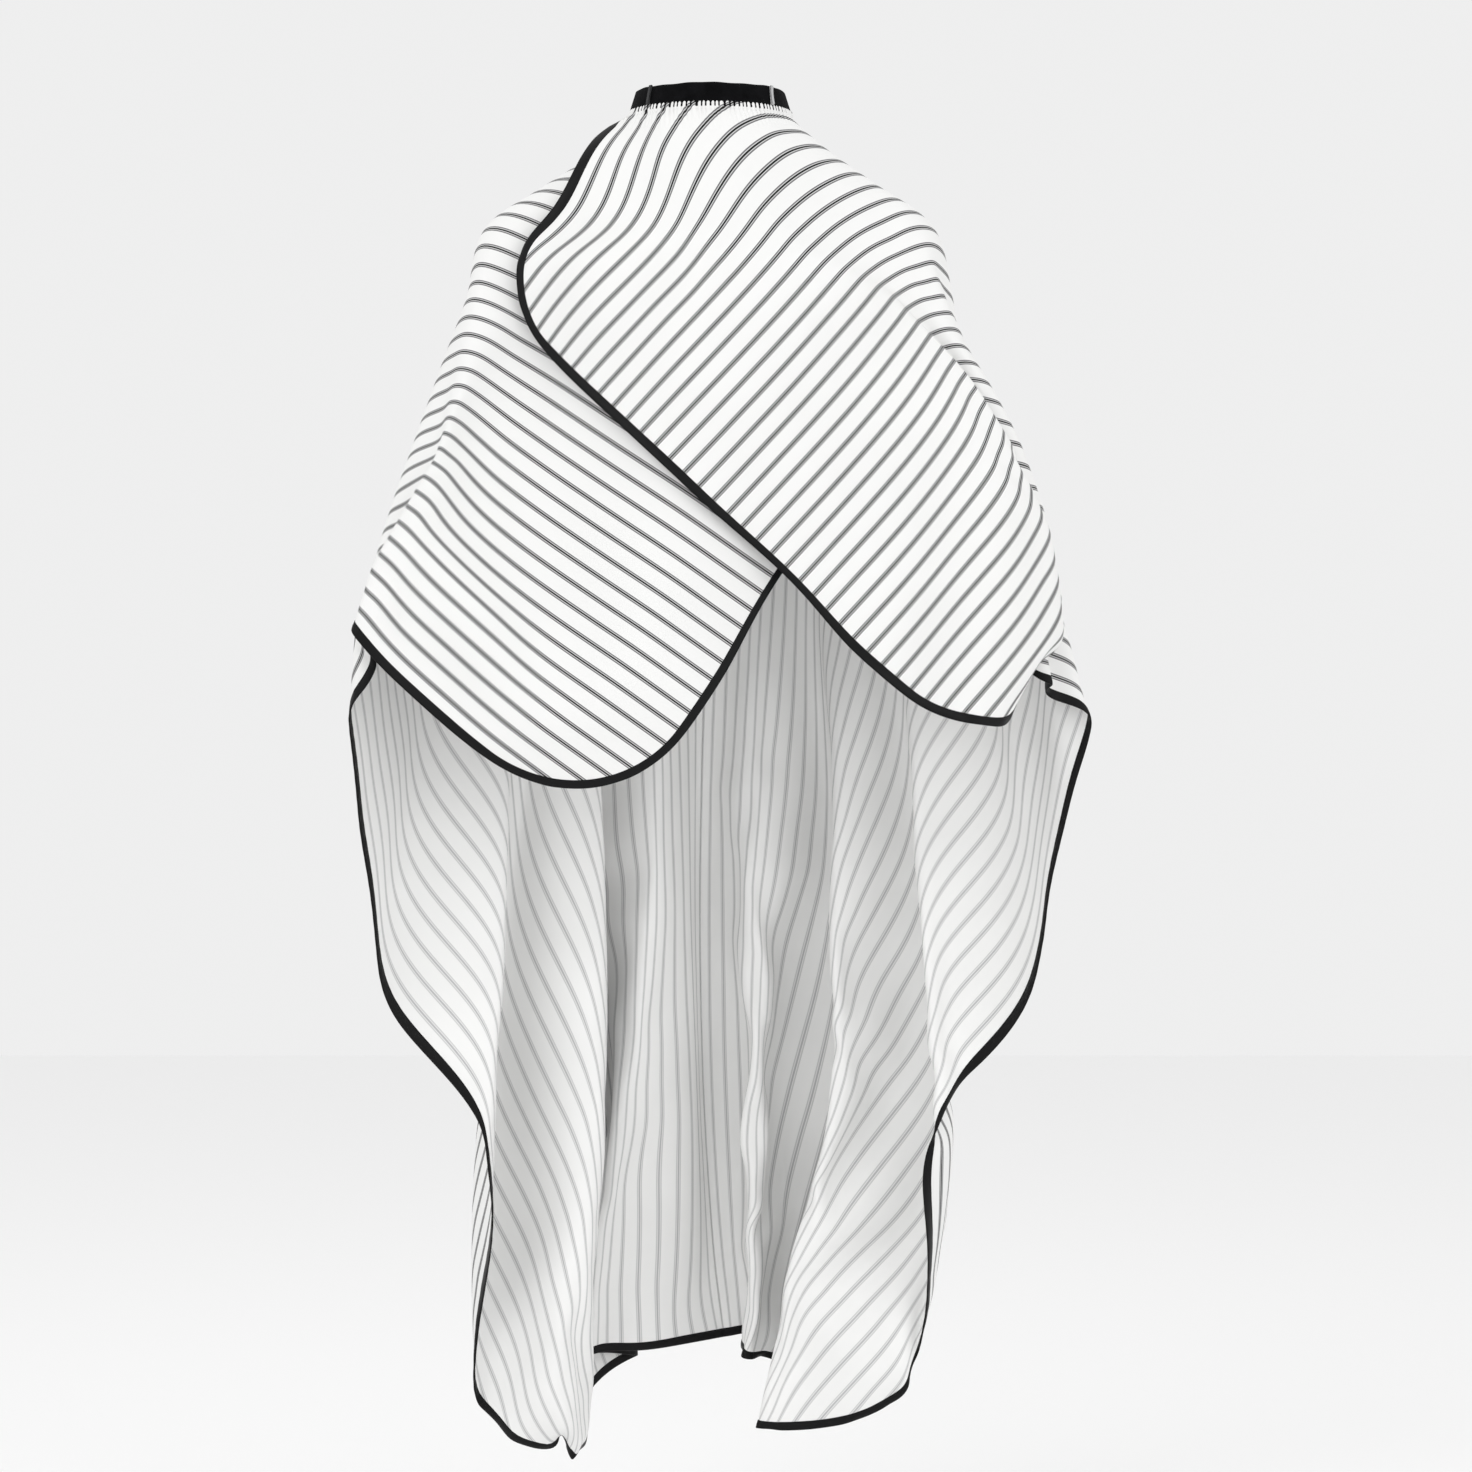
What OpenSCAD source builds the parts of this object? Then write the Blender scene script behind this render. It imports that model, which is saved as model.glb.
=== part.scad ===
// Wrap-back salon cape, worn shape. Millimetres, +Z up, the wearer faces +Y.
// The origin is the centre of the neck opening, at the height of the neckband.

/* [Cut sheet] */
// Width of the cut fabric from side hem to side hem
sheet_w = 1380; // [1200:10:1500]
// Length of the cut fabric from back hem to front hem
sheet_l = 1660; // [1400:10:1800]
// Cut distance from the neck centre to the back hem
back_len = 335; // [280:5:400]
// Corner radius at the front hem
front_corner_r = 200; // [60:5:260]
// Corner radius at the outer ends of the back hem
back_corner_r = 130; // [60:5:200]
// Corner radius where the back slit meets the back hem
slit_corner_r = 90; // [40:5:120]
// Cut radius of the neck edge
cut_r = 104; // [95:1:115]
// Fabric thickness as drawn
fabric_t = 1.4; // [1.2:0.1:2]

/* [Binding] */
// Visible width of the folded edge tape
tape_w = 7; // [5:0.5:12]
// Thickness of the folded edge tape around the fabric
tape_t = 2.4; // [2:0.1:3]

/* [Neckband] */
// Inner radius of the soft lining that touches the neck
neck_r = 62; // [56:0.5:70]
// Radius of the band where the fabric leaves it
neck_edge_r = 73; // [68:0.5:80]
// Height of the upper edge of the band
band_top = 15; // [10:1:22]
// Height of the lower edge of the band
band_bottom = -8; // [-14:1:-4]
// Thickness of one layer of band cloth
band_t = 1.2; // [1:0.1:2]
// Distance between the under and over layers where the back laps
lap_gap = 5.4; // [5:0.1:7]
// Thickness of each half of the hook-and-loop closure
grip_t = 1.3; // [1:0.1:1.6]

/* [Drape] */
// Turn of the draped cape for one turn of the cut sheet
wrap = 1.44; // [1.4:0.01:1.5]
// Slope of the shoulders below the horizontal
shoulder_slope = 34; // [25:1:45]
// Slope of the straight back panel below the horizontal
back_slope = 72.4; // [68:0.1:78]
// Slope of the upper chest below the horizontal
chest_slope = 50; // [40:1:65]
// Slope of the sleeves below the horizontal
sleeve_slope = 76.8; // [72:0.1:82]
// Slope of the hanging front panel below the horizontal
front_slope = 83.5; // [80:0.5:88]
// Length of the fabric from the neck to the shoulder point
shoulder_len = 162; // [140:1:180]
// Radius of the bend at the shoulder point
shoulder_bend = 100; // [60:5:120]
// Depth of the hanging folds at the front hem
fold_depth = 40; // [15:1:50]

/* [Details] */
// Width of the ribbon of each hanger loop
loop_w = 3; // [2:0.5:8]
// Drop of each hanger loop below the top of the band
loop_drop = 20; // [12:1:30]
// Turn from the centre back to each hanger loop
loop_turn = 51; // [20:1:58]

/* [Hidden] */
$fn = 96;
hx = sheet_w / 2;
front_len = sheet_l - back_len;
edge_z = -10;
// the opening line of the over flap runs straight down the right back
hinge_turn = 120;
// the cloth and the band climb onto the over layer between these turns
step_from = 80;
step_to = 97;
lap_end = 259;
// stations along half of the hem, from the middle of the front to the slit
t_corner = hx - front_corner_r;
t_side = t_corner + PI / 2 * front_corner_r;
t_back = t_side + sheet_l - front_corner_r - back_corner_r;
t_hem = t_back + PI / 2 * back_corner_r;
t_slit = t_hem + hx - back_corner_r - slit_corner_r;
t_end = t_slit + PI / 2 * slit_corner_r;
t_neck = t_end + back_len - slit_corner_r - cut_r;
// stations where the sheet is divided into nodes
t_chest = side_station(42);
t_hinge = side_station(hinge_turn / wrap);
t_under = side_station(98);
// clearances on each side of the opening line
part_panel = 1;
part_tape = 2.2;
part_band = 1;
part_gather = 1.6;
// clearance between the cloth and the inner edge of the tape
seam_gap = 0.1;
// distances across the band, from the middle of the under layer
core_t = 1.05;
lining_t = 0.8;
skin = 0.05;
band_low = (band_bottom - edge_z) / sin(back_slope);
band_high = (band_top - edge_z) / sin(back_slope);
rows_front = 16;
rows_back = 12;

function mix(a, b, t) = a + (b - a) * t;
function smooth(a, b, x) = let (t = min(1, max(0, (x - a) / (b - a)))) t * t * (3 - 2 * t);
function bump(x, c, w) = let (t = min(1, max(-1, (x - c) / w))) pow(cos(90 * t), 2);
function flat_list(rows) = [for (r = rows) for (p = r) p];
function arc_point(c, r, a) = c + r * [cos(a), sin(a)];

// cut-sheet outline at station t of one half, moved inward by d
function hem_point(t, d) =
    t < t_corner ? [t, front_len - d] :
    t < t_side ? arc_point([hx - front_corner_r, front_len - front_corner_r],
                           front_corner_r - d, 90 - (t - t_corner) / front_corner_r * 180 / PI) :
    t < t_back ? [hx - d, front_len - front_corner_r - (t - t_side)] :
    t < t_hem ? arc_point([hx - back_corner_r, back_corner_r - back_len],
                          back_corner_r - d, -(t - t_back) / back_corner_r * 180 / PI) :
    t < t_slit ? [hx - back_corner_r - (t - t_hem), d - back_len] :
    t < t_end ? arc_point([slit_corner_r, slit_corner_r - back_len],
                          slit_corner_r - d, -90 - (t - t_slit) / slit_corner_r * 180 / PI) :
    [d, slit_corner_r - back_len + (t - t_end)];
// station on the straight side where the cut angle from the front is a
function side_station(a) = t_side + front_len - front_corner_r - (hx - tape_w) / tan(a);

// height of the lapped layer above the under layer
function layer(turn) = lap_gap * smooth(step_from, step_to, turn);

// worn position of cut-sheet point q on one half, moved outward by off
function drape(side, q, off) =
    let (
        s = max(0, norm(q) - cut_r),
        cut_turn = wrap * atan2(q.x, q.y),
        turn = side > 0 ? cut_turn - 20 * smooth(120, 620, s) * bump(cut_turn, 162, 42)
                        : cut_turn + 4 * smooth(200, 600, s) * bump(cut_turn, 170, 50),
        m = turn > 180 ? 360 - turn : turn,
        shoulder = bump(m, 90, m > 90 ? 30 : 40),
        chest = smooth(100, 60, m),
        a0 = mix(mix(back_slope, chest_slope, chest), shoulder_slope, shoulder),
        a1 = mix(mix(back_slope, front_slope, chest), sleeve_slope, shoulder),
        bend = shoulder_bend * (a1 - a0) * PI / 180,
        s0 = shoulder_len - shoulder_bend * tan((a1 - a0) / 2),
        s1 = min(s, s0),
        s2 = min(max(0, s - s0), bend),
        s3 = max(0, s - s0 - bend),
        a = bend > 0 ? a0 + (a1 - a0) * s2 / bend : a0,
        out = s1 * cos(a0) + shoulder_bend * (sin(a) - sin(a0)) + s3 * cos(a1),
        down = s1 * sin(a0) + shoulder_bend * (cos(a0) - cos(a)) + s3 * sin(a1),
        fold = fold_depth * smooth(250, 1200, s) * smooth(80, 50, m) * cos(16 * m),
        lift = off + (side > 0 ? layer(cut_turn) : 0),
        face = mix(back_slope, a, smooth(0, 60, s)),
        r = neck_edge_r + out + fold + lift * sin(face)
    )
    [side * r * sin(turn), r * cos(turn), edge_z - down + lift * cos(face)];

// closed solid between two grids of worn points
module shell(outer, inner) {
    n = len(outer);
    m = len(outer[0]);
    k = n * m;
    quads = [
        for (i = [0:n - 2], j = [0:m - 2])
            [i * m + j, i * m + j + 1, (i + 1) * m + j + 1, (i + 1) * m + j],
        for (i = [0:n - 2], j = [0:m - 2])
            [k + i * m + j, k + (i + 1) * m + j, k + (i + 1) * m + j + 1, k + i * m + j + 1],
        for (i = [0:n - 2])
            [i * m, (i + 1) * m, k + (i + 1) * m, k + i * m],
        for (i = [0:n - 2])
            [i * m + m - 1, k + i * m + m - 1, k + (i + 1) * m + m - 1, (i + 1) * m + m - 1],
        for (j = [0:m - 2])
            [j, k + j, k + j + 1, j + 1],
        for (j = [0:m - 2])
            [(n - 1) * m + j, (n - 1) * m + j + 1, k + (n - 1) * m + j + 1, k + (n - 1) * m + j]
    ];
    tris = [for (q = quads) for (h = [0, 1]) h == 0 ? [q[0], q[1], q[2]] : [q[0], q[2], q[3]]];
    polyhedron(concat(flat_list(outer), flat_list(inner)), tris);
}

// cut-sheet column from the neck edge to the hem at station t, moved sideways by shift
function column(t, rows, shift) =
    let (
        e = hem_point(t, tape_w + seam_gap),
        a = atan2(e.x, e.y),
        na = a - 2.3 * pow(a / 178.4, 12)
    )
    [for (j = [0:rows])
        mix(cut_r * [sin(na), cos(na)], e, pow(j / rows, 1.25)) + shift * [cos(a), -sin(a)]];

// part of the sheet between two stations; negative stations are on the left half
module panel(t0, t1, cols, rows, shift0, shift1) {
    stations = [for (i = [0:cols]) mix(t0, t1, i / cols)];
    grid = [for (i = [0:cols])
        column(abs(stations[i]), rows, i == 0 ? shift0 : i == cols ? -shift1 : 0)];
    faces = [for (off = [fabric_t / 2, -fabric_t / 2])
        [for (i = [0:cols]) [for (q = grid[i]) drape(stations[i] < 0 ? -1 : 1, q, off)]]];
    shell(faces[0], faces[1]);
}

// stations of the tape down the slit, matching the last column of the panel
function slit_stations(rows) =
    [for (j = [1:rows]) t_end + (t_neck - t_end) * (1 - pow((rows - j) / rows, 1.25))];

module tape(stations) {
    faces = [for (off = [tape_t / 2, -tape_t / 2])
        [for (t = stations) [for (d = [tape_w, 0])
            drape(t < 0 ? -1 : 1, hem_point(abs(t), d), off)]]];
    shell(faces[0], faces[1]);
}
// stations of a panel's columns, with the first and last moved inward by gap0 and gap1
function spaced(t0, t1, cols, gap0, gap1) =
    [for (i = [0:cols]) mix(t0, t1, i / cols) + (i == 0 ? gap0 : i == cols ? -gap1 : 0)];
function mirrored(stations) =
    [for (i = [len(stations) - 1:-1:0]) -stations[i]];

// point of the band's slanted section: u up along the band, n outward from its middle
function band_point(u, n) =
    [neck_edge_r - u * cos(back_slope) + n * sin(back_slope),
     edge_z + u * sin(back_slope) + n * cos(back_slope)];

module sector(turn0, turn1, profile) {
    rotate([0, 0, 90 - turn1])
        rotate_extrude(angle = turn1 - turn0)
            polygon(profile);
}
module band(turn0, turn1, u0, u1, n0, n1) {
    sector(turn0, turn1,
           [band_point(u0, n0), band_point(u0, n1), band_point(u1, n1), band_point(u1, n0)]);
}
// one strip wound round the neck that climbs from the under layer to the over layer
module wound_band(turn1, u0, u1, n0, n1) {
    steps = 96;
    faces = [for (n = [n1, n0])
        [for (i = [0:steps]) let (turn = mix(-lap_end, turn1, i / steps))
            [for (u = [u1, u0]) let (p = band_point(u, n + layer(turn)))
                [p.x * sin(turn), p.x * cos(turn), p.y]]]];
    shell(faces[0], faces[1]);
}
function across(gap) = gap / neck_edge_r * 180 / PI;

module front_panel() {
    color("white") panel(-t_chest, t_chest, 46, rows_front, 0, 0);
}
module left_drape() {
    color("white") panel(-t_under, -t_chest, 18, rows_back, 0, 0);
}
module right_drape() {
    color("white") panel(t_chest, t_hinge, 15, rows_back, 0, part_panel);
}
module under_flap() {
    color("gainsboro") panel(-t_end, -t_under, 26, rows_back, 0, 0);
}
module over_flap() {
    color("gainsboro") panel(t_hinge, t_end, 30, rows_back, part_panel, 0);
}

module front_hem_tape() {
    color("black") tape(spaced(-t_chest, t_chest, 46, 0, 0));
}
module left_edge_tape() {
    color("black") tape(spaced(-t_under, -t_chest, 18, 0, 0));
}
module right_edge_tape() {
    color("black") tape(spaced(t_chest, t_hinge, 15, 0, part_tape));
}
module under_flap_tape() {
    color("black")
        tape(concat(mirrored(slit_stations(rows_back)), spaced(-t_end, -t_under, 26, 0, 0)));
}
module over_flap_tape() {
    color("black")
        tape(concat(spaced(t_hinge, t_end, 30, part_tape, 0), slit_stations(rows_back)));
}

// outer cloth of the band: under layer, step up at the right side, start of the over layer
module neckband() {
    color("black")
        wound_band(hinge_turn - across(part_band), band_low, band_high,
                   -band_t / 2, band_t / 2);
}
module neckband_end() {
    color("black")
        band(hinge_turn + across(part_band), lap_end, band_low, band_high,
             lap_gap - band_t / 2, lap_gap + band_t / 2);
}
module neck_lining() {
    color("dimgray")
        sector(-lap_end, step_to,
               [[neck_r, band_bottom + 1], [neck_r + lining_t, band_bottom + 1],
                [neck_r + lining_t, band_top], [neck_r, band_top]]);
}
module band_core() {
    color("lightgray")
        band(-lap_end + 1, step_from, band_low + 1, band_high - 1.6,
             -band_t / 2 - skin - core_t, -band_t / 2 - skin);
}
module band_end_core() {
    color("lightgray")
        band(hinge_turn + across(2 * part_band), lap_end - 1, band_low + 1, band_high - 1,
             lap_gap - band_t / 2 - skin - core_t, lap_gap - band_t / 2 - skin);
}

// gathered edge of the sheet under the band
module neck_gather() {
    color("white")
        wound_band(hinge_turn - across(part_gather), skin, band_low - skin, -1, 1);
}
module neck_gather_end() {
    color("white")
        band(hinge_turn + across(part_gather), lap_end, skin, band_low - skin,
             lap_gap - 1, lap_gap + 1);
}

module loop_tape() {
    color("black")
        band(-172, -lap_end + 152, band_low + 3, band_high - 3,
             band_t / 2 + skin, band_t / 2 + skin + grip_t);
}
module hook_tape() {
    color("black")
        band(lap_end - 42, lap_end - 3, band_low + 3, band_high - 3,
             lap_gap - band_t / 2 - 2 * skin - core_t - grip_t,
             lap_gap - band_t / 2 - 2 * skin - core_t);
}

// ribbon loop that hangs over the outside of the band from its upper edge
module hanger_loop(turn) {
    top = band_point(band_high, lap_gap + band_t / 2 + 1.7);
    color("gray")
        rotate([0, 0, -turn])
            translate([0, top.x, top.y])
                rotate([90 - back_slope, 0, 0])
                    difference() {
                        ribbon_ring(1.3, loop_w);
                        ribbon_ring(0.5, loop_w + 1);
                    }
}
module ribbon_ring(r, w) {
    long = loop_drop - 2.6;
    for (z = [-1.3, -1.3 - long])
        translate([-w / 2, 0, z]) rotate([0, 90, 0]) cylinder(h = w, r = r, $fn = 24);
    translate([-w / 2, -r, -1.3 - long]) cube([w, 2 * r, long]);
}
module hanger_loop_left() {
    hanger_loop(178.5 + loop_turn);
}
module hanger_loop_right() {
    hanger_loop(178.5 - loop_turn);
}

front_panel();
left_drape();
right_drape();
under_flap();
over_flap();
front_hem_tape();
left_edge_tape();
right_edge_tape();
under_flap_tape();
over_flap_tape();
neckband();
neckband_end();
neck_lining();
band_core();
band_end_core();
neck_gather();
neck_gather_end();
loop_tape();
hook_tape();
hanger_loop_left();
hanger_loop_right();
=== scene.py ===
# Wrap-back salon cape in its worn shape. Metres, +Z up, the wearer faces +Y, origin at the neck.
import math

import bpy
import numpy as np
from mathutils import Matrix, Vector
from mathutils.bvhtree import BVHTree


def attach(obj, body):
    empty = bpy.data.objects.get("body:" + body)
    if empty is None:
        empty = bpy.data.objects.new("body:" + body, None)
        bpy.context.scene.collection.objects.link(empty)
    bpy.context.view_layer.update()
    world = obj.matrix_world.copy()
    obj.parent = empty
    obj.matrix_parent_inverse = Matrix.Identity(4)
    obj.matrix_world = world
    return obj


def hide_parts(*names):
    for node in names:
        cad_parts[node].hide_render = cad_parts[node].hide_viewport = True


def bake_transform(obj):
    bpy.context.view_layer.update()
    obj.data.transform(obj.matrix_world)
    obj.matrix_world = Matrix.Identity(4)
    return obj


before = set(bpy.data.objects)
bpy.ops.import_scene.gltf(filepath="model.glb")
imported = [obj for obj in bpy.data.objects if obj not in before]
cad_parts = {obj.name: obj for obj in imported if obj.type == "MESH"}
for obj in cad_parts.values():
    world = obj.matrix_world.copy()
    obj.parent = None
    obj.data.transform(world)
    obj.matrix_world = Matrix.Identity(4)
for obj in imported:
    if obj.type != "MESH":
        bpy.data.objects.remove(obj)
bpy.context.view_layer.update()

scene = bpy.context.scene
mm = 0.001


def smooth(a, b, x):
    t = np.clip((np.asarray(x, float) - a) / (b - a), 0, 1)
    return t * t * (3 - 2 * t)


def bump(x, centre, width):
    t = np.clip((np.asarray(x, float) - centre) / width, -1, 1)
    return np.cos(t * np.pi / 2) ** 2


def mix(a, b, t):
    return a + (b - a) * t


# Camera, at the back of the wearer
camera = {
    "distance": 4.0,
    "height": -0.59,
    "viewWidth": 1.39,  # width seen at the neck, in metres
    "shift": 0.0177,
    "sensor": 36.0,
}


def makeCamera(c):
    data = bpy.data.cameras.new("camera")
    eye = bpy.data.objects.new("camera", data)
    scene.collection.objects.link(eye)
    data.sensor_width = c["sensor"]
    data.lens = c["sensor"] * c["distance"] / c["viewWidth"]
    data.shift_x = c["shift"]
    eye.location = (0, -c["distance"], c["height"])
    eye.rotation_euler = (math.pi / 2, 0, 0)
    scene.camera = eye


makeCamera(camera)
print("camera placed")

# The cut sheet
cut = {
    "width": 1.38,
    "length": 1.66,
    "backLength": 0.335,  # neck centre to back hem
    "neckRadius": 0.104,
    "frontCorner": 0.20,
    "backCorner": 0.13,
    "slitCorner": 0.09,
    "cell": 0.022,  # size of a cloth cell in the simulation
    "fineLevels": 2,
    "clothThickness": 0.0005,
}
halfWidth = cut["width"] / 2
backHem = -cut["backLength"]
frontHem = cut["length"] - cut["backLength"]
neckCut = cut["neckRadius"]

# The neckband's section, shared by all that follows the neck
band = {
    "edgeRadius": 0.073,  # where the cloth leaves the band
    "edgeHeight": -0.010,
    "slope": math.radians(72.4),
    "wrap": 1.44,  # turn of the worn cape for a turn of the cut sheet
    "lapGap": 0.0054,
    "lapStart": 80,
    "lapFull": 97,
    "lapEnd": 259,
    "height": 0.0262,
}


def lapLift(turn):
    # the over layer's height above the under layer
    return band["lapGap"] * smooth(band["lapStart"], band["lapFull"], turn)


def bandPoint(turn, up, out):
    # a point of the band: turn in degrees, up along the band, out from the middle of its cloth
    turn, up, out = np.broadcast_arrays(np.asarray(turn, float), up, out)
    out = out + lapLift(turn)
    radius = band["edgeRadius"] - up * math.cos(band["slope"]) + out * math.sin(band["slope"])
    z = band["edgeHeight"] + up * math.sin(band["slope"]) + out * math.cos(band["slope"])
    a = np.radians(turn)
    return np.stack([radius * np.sin(a), radius * np.cos(a), z], -1)


def insideCut(x, y):
    if math.hypot(x, y) < neckCut:
        return False
    ax = abs(x)
    if ax > halfWidth or y > frontHem or y < backHem:
        return False
    r = cut["frontCorner"]
    if y > frontHem - r and ax > halfWidth - r and math.hypot(ax - halfWidth + r, y - frontHem + r) > r:
        return False
    r = cut["backCorner"]
    if y < backHem + r and ax > halfWidth - r and math.hypot(ax - halfWidth + r, y - backHem - r) > r:
        return False
    r = cut["slitCorner"]
    return not (y < backHem + r and ax < r and math.hypot(r - ax, backHem + r - y) > r)


def toOutline(x, y, side):
    # the nearest point of the sheet's outline or neck edge
    ax, sx = abs(x), side if side else (1 if x >= 0 else -1)
    rho = math.hypot(x, y)
    found = [(x / rho * neckCut, y / rho * neckCut)]
    rf, rb, rs = cut["frontCorner"], cut["backCorner"], cut["slitCorner"]
    if y > frontHem - rf and ax > halfWidth - rf:
        dx, dy = ax - halfWidth + rf, y - frontHem + rf
        d = math.hypot(dx, dy)
        found.append((sx * (halfWidth - rf + dx / d * rf), frontHem - rf + dy / d * rf))
    elif y < backHem + rb and ax > halfWidth - rb:
        dx, dy = ax - halfWidth + rb, y - backHem - rb
        d = math.hypot(dx, dy)
        found.append((sx * (halfWidth - rb + dx / d * rb), backHem + rb + dy / d * rb))
    elif y < backHem + rs and ax < rs:
        dx, dy = rs - ax, backHem + rs - y
        d = math.hypot(dx, dy)
        found.append((sx * (rs - dx / d * rs), backHem + rs - dy / d * rs))
    else:
        found.append((sx * halfWidth, y))
        found.append((x, frontHem if y > 0 else backHem))
    return min(found, key=lambda q: (q[0] - x) ** 2 + (q[1] - y) ** 2)


def cutGrid():
    # square cells over the cut; the slit's two edges have points of their own
    nx = round(cut["width"] / cut["cell"] / 2) * 2
    ny = round(cut["length"] / cut["cell"])
    dx, dy = cut["width"] / nx, cut["length"] / ny
    ids, flat, faces = {}, [], []

    def point(i, j, side):
        x, y = -halfWidth + i * dx, backHem + j * dy
        key = (i, j, side if i == nx // 2 and y < 0 else 0)
        if key not in ids:
            ids[key] = len(flat)
            flat.append([x, y, key[2]])
        return ids[key]

    for i in range(nx):
        side = -1 if i < nx // 2 else 1
        for j in range(ny):
            if insideCut(-halfWidth + (i + 0.5) * dx, backHem + (j + 0.5) * dy):
                faces.append([point(i, j, side), point(i + 1, j, side),
                              point(i + 1, j + 1, side), point(i, j + 1, side)])
    flat = np.array(flat)
    count = {}
    for f in faces:
        for a, b in zip(f, f[1:] + f[:1]):
            key = (min(a, b), max(a, b))
            count[key] = count.get(key, 0) + 1
    edges = np.array(list(count))
    for v in sorted({v for e, n in count.items() if n == 1 for v in e}):
        x, y, side = flat[v]
        onSlit = side != 0 and y > backHem + cut["slitCorner"]
        if onSlit and y < -neckCut * 1.05:
            continue
        qx, qy = toOutline(x, y, side)
        if side != 0 and y >= -neckCut * 1.3 and abs(x) < 1e-6:
            qx, qy = 0.0, -neckCut
        flat[v, 0], flat[v, 1] = (0.0 if onSlit else qx), qy
    return flat, faces, edges


# How the sheet lies on the wearer before it settles
lie = {
    "frontWrap": 1.44,
    "frontSlope": 86.5,
    "foldDepth": 0.07,
    "backFrom": 72,  # cut angles between which the back takes over from the front
    "backTo": 106,
    "overTurn": 49,  # turn of the right back flap in its own plane, in degrees
    "underTurn": 60,
    "overPlace": (0.018, 0.082),
    "underPlace": (-0.010, 0.070),
    "shoulderHeight": -0.12,
    "relaxSteps": 30,
    "frontFolds": 16,  # folds in a full turn
    "tuckBefore": 0.010,  # gap under the over flap, before and after settling
    "tuckAfter": 0.004,
}


def frontLie(x, y, side):
    # a cone from the neck over the shoulder, then down, with hanging folds in front
    s = np.maximum(0, np.hypot(x, y) - neckCut)
    wrap = mix(band["wrap"], lie["frontWrap"], smooth(0.12, 0.42, s))
    cutTurn = wrap * np.degrees(np.arctan2(np.abs(x), y))
    over = side > 0
    turn = np.where(over, cutTurn - 20 * smooth(0.12, 0.62, s) * bump(cutTurn, 162, 42),
                    cutTurn + 4 * smooth(0.2, 0.6, s) * bump(cutTurn, 170, 50))
    m = np.where(turn > 180, 360 - turn, turn)
    shoulder = np.where(m > 90, bump(m, 90, 30), bump(m, 90, 40))
    chest = smooth(100, 60, m)
    a0 = np.radians(mix(mix(72.4, 50, chest), 34, shoulder))
    a1 = np.radians(mix(mix(72.4, lie["frontSlope"], chest), 76.8, shoulder))
    roll = 0.1
    bend = roll * (a1 - a0)
    s0 = 0.162 - roll * np.tan((a1 - a0) / 2)
    s1 = np.minimum(s, s0)
    s2 = np.minimum(np.maximum(0, s - s0), bend)
    s3 = np.maximum(0, s - s0 - bend)
    a = np.where(bend > 1e-9, a0 + (a1 - a0) * s2 / np.maximum(bend, 1e-9), a0)
    out = s1 * np.cos(a0) + roll * (np.sin(a) - np.sin(a0)) + s3 * np.cos(a1)
    down = s1 * np.sin(a0) + roll * (np.cos(a0) - np.cos(a)) + s3 * np.sin(a1)
    wave = np.cos(np.radians(lie["frontFolds"] * m))
    fold = lie["foldDepth"] * smooth(0.2, 1.1, s) * smooth(80, 50, m) * wave
    extra = 0.004 * smooth(90, 110, cutTurn) * smooth(0, 0.08, s)
    lift = np.where(over, lapLift(cutTurn) + extra, 0)
    face = mix(band["slope"], a, smooth(0, 0.06, s))
    radius = band["edgeRadius"] + out + fold + lift * np.sin(face)
    t = np.radians(turn)
    return np.stack([radius * np.sin(t), radius * np.cos(t),
                     band["edgeHeight"] - down + lift * np.cos(face)], -1)


def backProfile(along, z):
    # level section of the back: flat over the back, then out to the sleeve and forward
    fold = 0.20
    reach = 0.225 + 0.235 * np.clip(-z - 0.1, 0, 0.6)
    outward, forward = math.radians(42), math.radians(105)
    sleeve = np.maximum((reach - fold) / math.cos(outward), 0.005)
    x, y = 0, 0
    shifts = (-0.036, -0.018, 0, 0.018, 0.036)  # the average rounds both corners
    for shift in shifts:
        q = along + shift
        q1 = np.minimum(np.abs(q), fold)
        q2 = np.clip(np.abs(q) - fold, 0, sleeve)
        q3 = np.maximum(0, np.abs(q) - fold - sleeve)
        x = x + np.sign(q) * (q1 + math.cos(outward) * q2 + math.cos(forward) * q3) / len(shifts)
        y = y + (0.05 * (q1 / 0.22) ** 2 + math.sin(outward) * q2 + math.sin(forward) * q3) / len(shifts)
    return x, y


def backLie(x, y, side):
    # each back flap lies flat and turned in its own plane
    over = side > 0
    ax = np.abs(x)
    turn = np.radians(np.where(over, lie["overTurn"], lie["underTurn"]))
    along = np.where(over, lie["overPlace"][0], lie["underPlace"][0]) + np.cos(turn) * ax + np.sin(turn) * y
    z = np.where(over, lie["overPlace"][1], lie["underPlace"][1]) - np.sin(turn) * ax + np.cos(turn) * y
    above = np.maximum(0, z - lie["shoulderHeight"])
    z = np.minimum(z, lie["shoulderHeight"]) + above * 0.5
    px, py = backProfile(along, z)
    depth = 0.128 + 0.05 * smooth(0.12, 0.6, -z) + np.where(over, 0.012, -0.016 * smooth(0, 0.15, -along))
    return np.stack([px, -depth + py + above * 0.8, z], -1)


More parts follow.
